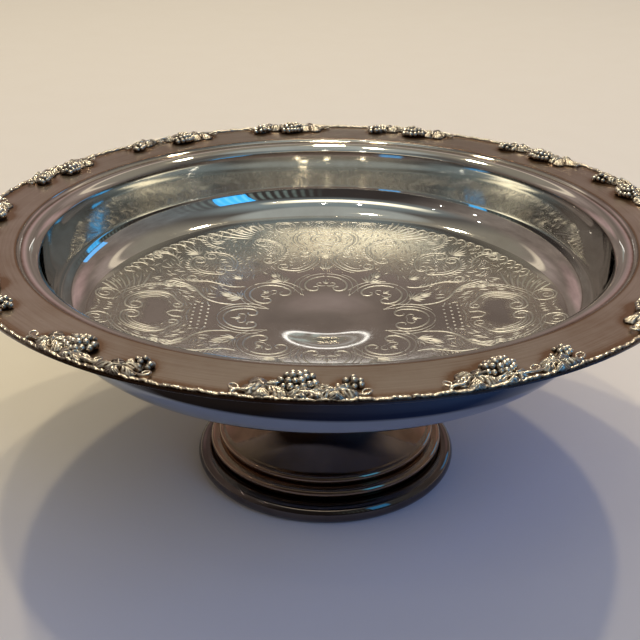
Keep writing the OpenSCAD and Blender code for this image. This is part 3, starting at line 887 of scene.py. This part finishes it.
class Maker:
    # short way to add and join the nodes of a material or the world
    def __init__(self, owner):
        owner.use_nodes = True
        self.tree = owner.node_tree
        self.tree.nodes.clear()

    def add(self, kind, **settings):
        node = self.tree.nodes.new(kind)
        for k, v in settings.items():
            setattr(node, k, v)
        return node

    # a number or colour is set on the socket, a socket is joined to it
    def put(self, value, socket):
        if isinstance(value, (int, float)):
            socket.default_value = value
        elif isinstance(value, (tuple, list)):
            socket.default_value = (*value, 1)
        else:
            self.tree.links.new(value, socket)

    def math(self, operation, *values, clamp=False):
        n = self.add("ShaderNodeMath", operation=operation, use_clamp=clamp)
        for value, socket in zip(values, n.inputs):
            self.put(value, socket)
        return n.outputs[0]

    def plus(self, a, b, share, **settings):
        return self.math("ADD", a, self.math("MULTIPLY", b, share), **settings)

    def mix(self, factor, a, b):
        n = self.add("ShaderNodeMix", data_type="RGBA")
        for i, value in ((0, factor), (6, a), (7, b)):
            self.put(value, n.inputs[i])
        return n.outputs[2]

    def noise(self, vector, scale, detail, rough):
        n = self.add("ShaderNodeTexNoise")
        for name, value in (("Vector", vector), ("Scale", scale), ("Detail", detail), ("Roughness", rough)):
            self.put(value, n.inputs[name])
        return n.outputs["Fac"]

    # 0 at lo, 1 at hi, even between and level beyond
    def ramp(self, value, lo, hi):
        n = self.add("ShaderNodeMapRange")
        for name, v in (("Value", value), ("From Min", lo), ("From Max", hi)):
            self.put(v, n.inputs[name])
        return n.outputs["Result"]

    # product of ramps on named axes
    def share(self, axes, ramps):
        made = [self.ramp(axes[name], lo, hi) for name, lo, hi in ramps]
        out = made[0]
        for other in made[1:]:
            out = self.math("MULTIPLY", out, other)
        return out

    # zones painted one over the other, each as its ramps and its colour
    def painted(self, axes, base, zones):
        for ramps, colour in zones:
            base = self.mix(self.share(axes, ramps), base, colour)
        return base

    def attribute(self, name):
        return self.add("ShaderNodeAttribute", attribute_name=name).outputs["Fac"]

    # a coordinate whole and by its axes
    def place(self, kind):
        place = self.add("ShaderNodeTexCoord").outputs[kind]
        split = self.add("ShaderNodeSeparateXYZ")
        self.put(place, split.inputs[0])
        return place, dict(zip("xyz", split.outputs))

    # distance from the axis
    def radius(self, x, y):
        return self.math("SQRT", self.math("ADD", self.math("MULTIPLY", x, x), self.math("MULTIPLY", y, y)))

    def finish(self, kind, shader):
        self.put(shader.outputs[0], self.add(kind).inputs[0])


# finishes: metal, tarnish, how much of it lies in patches, roughness, turning marks, the bump's height in mm
finishes = dict(
    # the plate's tarnish colour is also that of the painted shade on the flange and in the grooves
    plate=dict(colour=(0.75, 0.745, 0.72), tarnish=(0.23, 0.143, 0.092), patches=0.20, rough=0.035,
               brush=0.04, bumpH=0.0015, reads=("hollow", "matt", "outer", "worked")),
    cast=dict(colour=(0.79, 0.738, 0.67), tarnish=(0.06, 0.034, 0.02), patches=0.30, rough=0.26, brush=0.03,
              bumpH=0.12, reads=("hollow",)),
    footPlate=dict(colour=(0.36, 0.255, 0.185), tarnish=(0.09, 0.055, 0.038), patches=0.55, rough=0.075,
                   brush=0.06, bumpH=0.008),
    # the base ring: darker than the foot's plate, for tarnish and painted shade where it meets the floor
    ringPlateTarnishAndShade=dict(colour=(0.15, 0.128, 0.122), tarnish=(0.05, 0.035, 0.03), patches=0.55, rough=0.06,
                   brush=0.06, bumpH=0.008),
    solder=dict(colour=(0.50, 0.49, 0.47), tarnish=(0.2, 0.17, 0.14), patches=0.5, rough=0.42, brush=0.05,
                bumpH=0.02),
    # the chased finish's tarnish colour is also the painted shade along the strokes' edges
    chased=dict(colour=(0.55, 0.553, 0.565), tarnish=(0.11, 0.085, 0.065), patches=0.25, rough=0.34,
                brush=0.05, bumpH=0.01, reads=("hollow",), speckled=False))
# what all finishes share: noises as scale, detail and roughness, their ranges, and what each mark adds
skin = dict(marks=(1.0, 4.0, 0.65), cloud=(46.0, 5.0, 0.6), speck=(1300.0, 3.0, 0.6), scratch=(1.0, 2.0, 0.5),
            markTurn=5.0, markScale=1500.0, patchRange=(0.40, 0.75), speckRange=(-0.3, 0.62),
            scratchScale=(60, 2600, 800), scratchRange=(0.66, 0.74),
            scratches=((0.4, 1.0), (1.5, 0.8), (-0.7, 1.2)),  # turn and scale of each set
            scratchRough=0.06, scratchH=-0.4, dirtAndShadeRough=0.09, markH=4.0, bump=0.5,
            mattRange=(0.2, 0.8), mattDirt=(0.30, 0.44), mattRough=0.20,
            workedRange=(0.42, 0.6), workedDirt=0.40, workedRough=0.17, workedH=2.5,
            # darker, bluer colour of the bowl's outside: painted reflection of shaded floor, and its tarnish
            outerPaintedReflection=(0.32, 0.37, 0.46), outerTarnish=(0.16, 0.14, 0.13))


# silver plate: pale metal, brown tarnish in patches and, with painted shade, in hollows; marks of turning,
# specks and fine scratches
def silver(name):
    f, k = finishes[name], skin
    mat = bpy.data.materials.new(name)
    m = Maker(mat)
    place, axes = m.place("Object")
    r = m.radius(axes["x"], axes["y"])
    around = m.add("ShaderNodeCombineXYZ")  # direction round the axis, then way along the profile
    for i, axis in enumerate("xy"):
        away = m.math("DIVIDE", axes[axis], m.math("ADD", r, mm))
        m.put(m.math("MULTIPLY", away, k["markTurn"]), around.inputs[i])
    m.put(m.math("MULTIPLY", m.math("ADD", r, axes["z"]), k["markScale"]), around.inputs[2])
    marks, cloud = m.noise(around.outputs[0], *k["marks"]), m.noise(place, *k["cloud"])
    speck = m.noise(place, *k["speck"])
    scratches = None
    along, across, down = k["scratchScale"]
    for turn, scale in k["scratches"]:
        stretch = m.add("ShaderNodeMapping")
        stretch.inputs["Rotation"].default_value = (0, 0, turn)
        stretch.inputs["Scale"].default_value = (along*scale, across*scale, down)
        m.put(place, stretch.inputs["Vector"])
        line = m.ramp(m.noise(stretch.outputs[0], *k["scratch"]), *k["scratchRange"])
        scratches = line if scratches is None else m.math("MAXIMUM", scratches, line)
    reads = {a: m.attribute(a) for a in f.get("reads", ())}
    dirt_and_shade = m.math("MULTIPLY", m.ramp(cloud, *k["patchRange"]), f["patches"])
    rough = m.plus(f["rough"], m.math("SUBTRACT", marks, 0.5), f["brush"])
    if "matt" in reads:
        streaks = m.math("MULTIPLY_ADD", m.ramp(marks, *k["mattRange"]), *k["mattDirt"])
        dirt_and_shade = m.plus(dirt_and_shade, reads["matt"], streaks)
        rough = m.plus(rough, reads["matt"], k["mattRough"])
    specks = speck
    if "worked" in reads:
        punched = m.math("MULTIPLY", m.ramp(speck, *k["workedRange"]), k["workedDirt"])
        dirt_and_shade = m.plus(dirt_and_shade, reads["worked"], punched)
        rough = m.plus(rough, reads["worked"], k["workedRough"])
        specks = m.math("MULTIPLY", speck, m.plus(1.0, reads["worked"], k["workedH"]))
    # tarnish and painted shade that the mesh marks: castings' hollows, stroke edges, rail, flange by the
    # castings
    if "hollow" in reads:
        speckled = m.ramp(speck, *k["speckRange"]) if f.get("speckled", True) else 1.0
        dirt_and_shade = m.plus(dirt_and_shade, reads["hollow"], speckled)
    dirt_and_shade = m.math("MINIMUM", dirt_and_shade, 1.0)
    base = m.mix(dirt_and_shade, f["colour"], f["tarnish"])
    # painted reflection: the bowl's outside darker and bluer
    if "outer" in reads:
        base = m.mix(reads["outer"], base, m.mix(dirt_and_shade, k["outerPaintedReflection"], k["outerTarnish"]))
    rough = m.plus(m.plus(rough, dirt_and_shade, k["dirtAndShadeRough"]), scratches, k["scratchRough"], clamp=True)
    height = m.plus(m.math("MULTIPLY", marks, f["brush"]*k["markH"]), scratches, k["scratchH"])
    bump = m.add("ShaderNodeBump")
    bump.inputs["Strength"].default_value = k["bump"]
    bump.inputs["Distance"].default_value = f["bumpH"]*mm
    m.put(m.math("ADD", height, specks), bump.inputs["Height"])
    shader = m.add("ShaderNodeBsdfPrincipled")
    shader.inputs["Metallic"].default_value = 1.0
    m.put(base, shader.inputs["Base Color"])
    m.put(rough, shader.inputs["Roughness"])
    m.put(bump.outputs["Normal"], shader.inputs["Normal"])
    m.finish("ShaderNodeOutputMaterial", shader)
    return mat


metal = {name: silver(name) for name in finishes}
print("finishes made")


# bowl turned from its profile, with what its finish reads: painted shade, brushed flange, underside, worked
# ground
def makeBowl(strokes):
    profile = bowlProfile()
    grid = revolve(profile, bowl["around"])
    x, y, z = np.moveaxis(grid, -1, 0)
    ring, radius = np.arange(len(profile)), profile[:, 0]
    rimAt = int(np.argmax(radius + 1e-3*profile[:, 1]))  # upper one of the two outermost points
    onFlange = (radius > bowl["rimR"] - bowl["flangeW"]) & (ring <= rimAt)
    onFloor = (radius < bowl["floorR"]) & (ring < rimAt)
    matt = np.where(onFlange, 1.0, np.where(onFloor, bowl["floorMatt"], 0.0))
    worked = np.where(ring < bowl["floorRings"], workedAt(strokes, x, y), 0.0)
    body = sheet(grid, closeU=True, poleStart=True, poleEnd=True, flip=True, hollow=flangeShadeAt(x, y, z),
                 matt=matt, worked=worked, outer=np.where(ring > rimAt, 1.0, 0.0))
    makePiece("bowl", [body], metal["plate"], ["bowl_body"])


# piece of the foot turned from its closed profile
def makeTurned(name, profile, finish, node, flip=False):
    body = sheet(revolve(profile, foot["around"]), closeU=True, closeV=True, flip=flip)
    makePiece(name, [body], metal[finish], [node])


strokes, dots = pattern()
makeBowl(strokes)
places = footPlaces()
makeTurned("foot", footProfile(places), "footPlate", "foot_shell")
makeTurned("base_ring", ringProfile(places), "ringPlateTarnishAndShade", "foot_ring")
makeTurned("fillet", filletProfile(places), "solder", "solder_fillet", flip=True)
inner, outer = [], []
for stroke in strokes:
    (inner if np.hypot(*stroke[0].T).mean() < chasing["innerR"] else outer).append(strip(*stroke))
makePiece("chasing_inner", inner + [dome(*d) for d in dots], metal["chased"])
makePiece("chasing_outer", outer, metal["chased"])
for k in range(border["sections"]):
    node = "border_section_%d" % (k + 1)
    makePiece("border_%d" % (k + 1), borderSheets(k), metal["cast"], [node])
print("pieces made")

view = dict(place=(-2.28, -357.45, 228.65), pitch=25.726, roll=0.18, lens=60.99, sensor=36.0, near=0.01)


# camera looking along +Y, tipped down by pitch and rolled about its own axis
def cameraAt():
    data = bpy.data.cameras.new("view")
    data.lens = view["lens"]
    data.sensor_width = view["sensor"]
    data.clip_start = view["near"]
    cam = bpy.data.objects.new("view", data)
    tip = Matrix.Rotation(math.radians(90 - view["pitch"]), 4, "X")
    roll = Matrix.Rotation(math.radians(view["roll"]), 4, "Z")
    cam.matrix_world = Matrix.Translation([c*mm for c in view["place"]]) @ tip @ roll
    bpy.context.scene.collection.objects.link(cam)
    bpy.context.scene.camera = cam


stage = dict(radius=4.0, sides=96, pale=(0.78, 0.73, 0.66), paler=(0.80, 0.755, 0.69), rough=0.9, gloss=0.1,
             mottle=(30.0, 4.0, 0.55),
             # painted reflection: what the metal sees past a distance in front: dark, brown to blue from left
             # to right
             middle=(0.015, 0.005), beyond=[("away", 0.113, 0.125), ("y", 0.015, -0.095)],
             brown=(0.042, 0.027, 0.019), blue=(0.045, 0.08, 0.165), toBlue=[("x", -0.05, 0.12)])


# plain pale floor; a painted reflection makes the metal see it end in the dark a hand's breadth in front of
# the bowl
def floorPiece():
    bpy.ops.mesh.primitive_circle_add(vertices=stage["sides"], radius=stage["radius"], fill_type="NGON",
                                      location=(0, 0, 0))
    o = bpy.context.object
    o.name = "floor"
    mat = bpy.data.materials.new("floorPaint")
    m = Maker(mat)
    place, axes = m.place("Object")
    axes["away"] = m.radius(*(m.math("ADD", axes[a], shift) for a, shift in zip("xy", stage["middle"])))
    glossy = m.add("ShaderNodeLightPath").outputs["Is Glossy Ray"]
    dark = m.mix(m.share(axes, stage["toBlue"]), stage["brown"], stage["blue"])
    pale = m.mix(m.noise(place, *stage["mottle"]), stage["pale"], stage["paler"])
    shader = m.add("ShaderNodeBsdfPrincipled")
    shader.inputs["Roughness"].default_value = stage["rough"]
    shader.inputs["Specular IOR Level"].default_value = stage["gloss"]
    beyond = m.math("MULTIPLY", glossy, m.share(axes, stage["beyond"]))
    m.put(m.mix(beyond, pale, dark), shader.inputs["Base Color"])
    m.finish("ShaderNodeOutputMaterial", shader)
    o.data.materials.append(mat)


# what the metal mirrors, as zones by direction; side is the distance from the middle plane, way the turn
# about the axis, bars a wave of it
surround = dict(
    barCount=90.0, left=(0.31, 0.262, 0.228),
    walls=[([("x", -0.3, 0.3)], (0.21, 0.232, 0.24)),  # teal grey to the right
           ([("y", -0.2, 0.55)], (0.285, 0.225, 0.19)),  # mauve brown behind
           ([("y", 0.3, 0.6), ("z", 0.49, 0.58)], (0.43, 0.335, 0.30)),  # paler higher up
           ([("side", 0.13, 0.25), ("y", 0.6, 0.8), ("z", 0.25, 0.33), ("z", 0.50, 0.42)],
            (0.52, 0.36, 0.335))],  # rose to both sides of the back
    front=(0.048, 0.042, 0.040), frontFrom=[("y", -0.2, -0.75)],
    frontBars=[([("x", 0.0, 0.35), ("z", 0.12, 0.2), ("z", 0.6, 0.5), ("bars", -0.4, 0.8)],
                (0.23, 0.30, 0.28))],
    mottle=(5.0, 4.0, 0.65), mottleRange=(0.3, 0.7), mottleShare=0.45, mottleColour=(0.06, 0.045, 0.04),
    high=(0.29, 0.26, 0.21), highFrom=[("z", 0.56, 0.74)],
    highs=[([("y", 0.3, -0.05)], (0.12, 0.11, 0.10)), ([("y", -0.1, -0.4)], (0.26, 0.31, 0.32)),
           ([("z", 0.92, 0.955)], (0.42, 0.44, 0.41))],
    # pale band behind, and a warm lit patch high in front, soft to all sides
    lit=[([("y", 0.35, 0.6), ("z", 0.61, 0.625), ("z", 0.67, 0.65)], (0.85, 0.72, 0.56)),
         ([("way", -2.75, -2.1), ("way", -0.9, -1.4), ("z", 0.69, 0.722), ("z", 0.82, 0.775)],
          (2.75, 2.50, 1.85))],
    backdrop=(0.70, 0.655, 0.59))


# zones over one another: walls, dark front with bars, mottling, what is high, lit patches; pale to the camera
def worldLight():
    w = surround
    world = bpy.data.worlds.new("surround")
    bpy.context.scene.world = world
    m = Maker(world)
    place, axes = m.place("Generated")
    axes["side"] = m.math("ABSOLUTE", axes["x"])
    axes["way"] = m.math("ARCTAN2", axes["y"], axes["x"])
    axes["bars"] = m.math("SINE", m.math("MULTIPLY", axes["way"], w["barCount"]))
    wall = m.painted(axes, w["left"], w["walls"])
    wall = m.mix(m.share(axes, w["frontFrom"]), wall, m.painted(axes, w["front"], w["frontBars"]))
    uneven = m.ramp(m.noise(place, *w["mottle"]), *w["mottleRange"])
    wall = m.mix(m.math("MULTIPLY", uneven, w["mottleShare"]), wall, w["mottleColour"])
    hue = m.mix(m.share(axes, w["highFrom"]), wall, m.painted(axes, w["high"], w["highs"]))
    hue = m.painted(axes, hue, w["lit"])
    seen = m.add("ShaderNodeLightPath").outputs["Is Camera Ray"]
    back = m.add("ShaderNodeBackground")
    m.put(m.mix(seen, hue, w["backdrop"]), back.inputs[0])
    m.finish("ShaderNodeOutputWorld", back)


# rectangular lamp at a place, turned to its aim
def lamp(name, place, aim, size, power, colour):
    data = bpy.data.lights.new(name, "AREA")
    data.shape = "RECTANGLE"
    data.size, data.size_y = size
    data.energy = power
    data.color = colour
    o = bpy.data.objects.new(name, data)
    o.location = place
    o.rotation_euler = (Vector(aim) - Vector(place)).to_track_quat("-Z", "Y").to_euler()
    bpy.context.scene.collection.objects.link(o)
    return o


# lamp by direction and by the share of full light that it lays on the floor
def spot(name, azimuth, rise, distance, size, share, colour, aimZ=0.05):
    a, e = math.radians(azimuth), math.radians(rise)
    level, up = distance*math.cos(e), distance*math.sin(e)
    place = (level*math.cos(a), level*math.sin(a), up + aimZ)
    return lamp(name, place, (0, 0, aimZ), size, share*math.pi**2*distance**2/math.sin(e), colour)


lights = dict(
    # each: azimuth, rise, share of full light
    warm=((90, 66, 0.14), (121, 60, 0.135), (52, 62, 0.13), (130, 79, 0.125)), warmColour=(1.0, 0.86, 0.58),
    warmAway=2.2, warmSize=(0.08, 0.08),
    # each: azimuth, rise, size, share
    sky=((-44, 23, (0.74, 1.25), 0.027), (36, 12, (0.82, 0.50), 0.005)), skyColour=(0.015, 0.43, 1.0),
    fill=(-50, 42, (2.0, 1.6), 0.21), fillColour=(0.19, 0.31, 1.0), skyAway=2.6,
    # small lamps for glints: azimuth, rise, size
    glints=((-88, 62, 0.05), (-113, 61, 0.06), (-149, 41, 0.03), (-147, 25, 0.03), (-166, 26, 0.03),
            (-177, 40, 0.03), (-60, 48, 0.03)),
    glintColour=(1.0, 0.93, 0.80), glintAway=2.4, glintSize=0.7, glintGain=1.9,
    # panel behind, mirrored in the sunk middle, with a bright bar on top, a paler spot and upright bars:
    # place, size, power, colour
    panel=dict(panelTop=((0.0, 3.97, 1.525), (0.60, 0.050), 0.16, (1.0, 0.98, 0.93)),
               panel=((0.0, 4.0, 1.33), (0.60, 0.36), 0.020, (0.80, 1.0, 0.95)),
               panelSpot=((0.0, 3.98, 1.375), (0.075, 0.040), 0.0026, (0.92, 1.0, 0.97))),
    bars=4, barStart=0.055, barEvery=0.045, barYZ=(3.98, 1.33), barSize=(0.020, 0.34), barPower=0.0065,
    barColour=(0.66, 1.0, 0.96), panelAim=(0, 0, 0.06))


# all lamps of the stage
def lampsRound():
    s = lights
    for i, (azimuth, rise, share) in enumerate(s["warm"]):
        spot("warm%d" % (i + 1), azimuth, rise, s["warmAway"], s["warmSize"], share, s["warmColour"])
    for i, (azimuth, rise, size, share) in enumerate(s["sky"]):
        spot("sky%d" % (i + 1), azimuth, rise, s["skyAway"], size, share, s["skyColour"])
    azimuth, rise, size, share = s["fill"]
    spot("fill", azimuth, rise, s["skyAway"], size, share, s["fillColour"]).visible_glossy = False
    for i, (azimuth, rise, size) in enumerate(s["glints"]):
        square, share = (s["glintSize"]*size,)*2, s["glintGain"]*size*size
        spot("glint%d" % (i + 1), azimuth, rise, s["glintAway"], square, share, s["glintColour"])
    for name, (place, size, power, colour) in s["panel"].items():
        lamp(name, place, s["panelAim"], size, power, colour)
    for i in range(s["bars"]):
        place = (s["barStart"] + s["barEvery"]*i, *s["barYZ"])
        lamp("panelBar%d" % (i + 1), place, s["panelAim"], s["barSize"], s["barPower"], s["barColour"])


cameraAt()
floorPiece()
worldLight()
lampsRound()
bpy.context.scene.view_settings.view_transform = "Standard"
print("light set")
